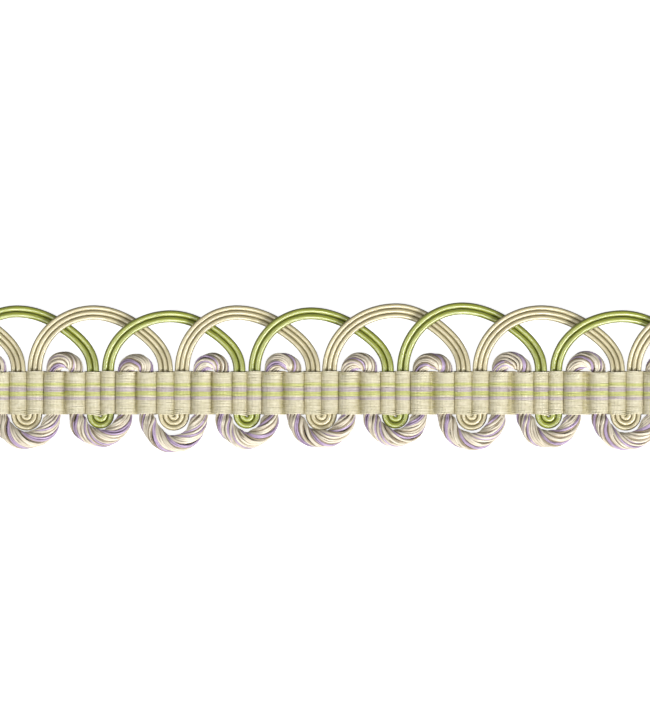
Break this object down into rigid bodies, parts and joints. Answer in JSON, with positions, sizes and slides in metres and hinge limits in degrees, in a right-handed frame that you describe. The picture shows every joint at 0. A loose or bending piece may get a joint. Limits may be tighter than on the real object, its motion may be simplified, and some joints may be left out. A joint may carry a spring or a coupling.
{
  "type": "braid trim",
  "caption": "Flat scroll gimp braid: a woven striped band holding a twisted rope edge of scallops and loops, with satin gimp arches above.",
  "frame": {"origin": "middle of the band's flat back", "axes": "+X along the trim, +Y across it from the rope's scallops to the gimp arches, +Z out of its face"},
  "size_m": [0.23, 0.0379, 0.0042],
  "materials": {
    "striped_cloth": "fine warp-faced weave, striped along its length, soft sheen",
    "rope_yarn": "twisted yarn in cream, taupe and lilac, soft",
    "green_satin": "glossy satin-wrapped strand",
    "beige_satin": "glossy satin-wrapped strand"
  },
  "bodies": {
    "root": {"band": "striped_cloth", "rope": "rope_yarn", "gimp_green_1": "green_satin", "gimp_green_2": "green_satin", "gimp_beige_1": "beige_satin", "gimp_beige_2": "beige_satin", "gimp_beige_3": "beige_satin"}
  },
  "joints": []
}
